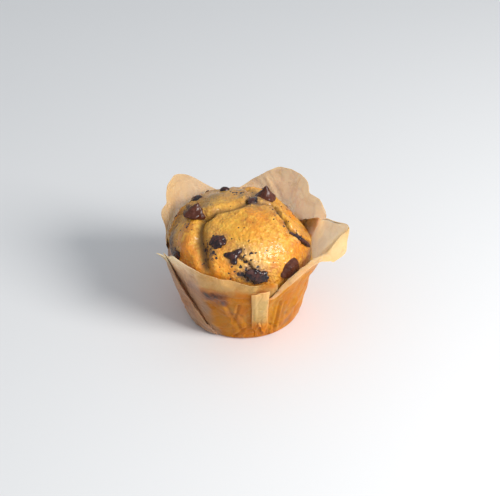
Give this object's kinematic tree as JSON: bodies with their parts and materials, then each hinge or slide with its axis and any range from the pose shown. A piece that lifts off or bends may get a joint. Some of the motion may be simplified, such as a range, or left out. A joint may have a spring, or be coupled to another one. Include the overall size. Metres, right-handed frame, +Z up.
{
  "type": "muffin in a paper liner",
  "caption": "Domed muffin with chocolate chips and dark berries, baked in a folded paper liner whose corners stand up as petals.",
  "frame": {"origin": "centre of the liner's foot, on the surface that the muffin stands on", "axes": "+Z up through the dome, -Y towards the front where the folded strip is, +X towards the petal that leans out"},
  "size_m": [0.0887, 0.0737, 0.0597],
  "materials": {
    "baked_crumb": "moist golden crust, toasted orange at the rim, pale and porous in the cracks",
    "baking_paper": "unbleached baking paper, dry and tan at the petals, soaked orange and translucent against the crumb",
    "chocolate": "dark chocolate, half melted and glossy",
    "berry": "burst dark berry, wet blue-black skin"
  },
  "bodies": {
    "root": {"muffin_crumb": "baked_crumb", "paper_liner": "baking_paper", "chocolate_chip_top": "chocolate", "chocolate_chip_left": "chocolate", "chocolate_chip_front_right": "chocolate", "chocolate_chip_back": "chocolate", "chocolate_chip_back_right": "chocolate", "chocolate_chip_back_left": "chocolate", "berry_front_left": "berry", "berry_front": "berry", "berry_front_rim": "berry", "berry_crown": "berry", "berry_crack_top": "berry", "berry_crack_right": "berry", "berry_left": "berry", "berry_left_rim": "berry", "berry_back": "berry", "berry_back_left": "berry", "berry_back_right": "berry"}
  },
  "joints": []
}
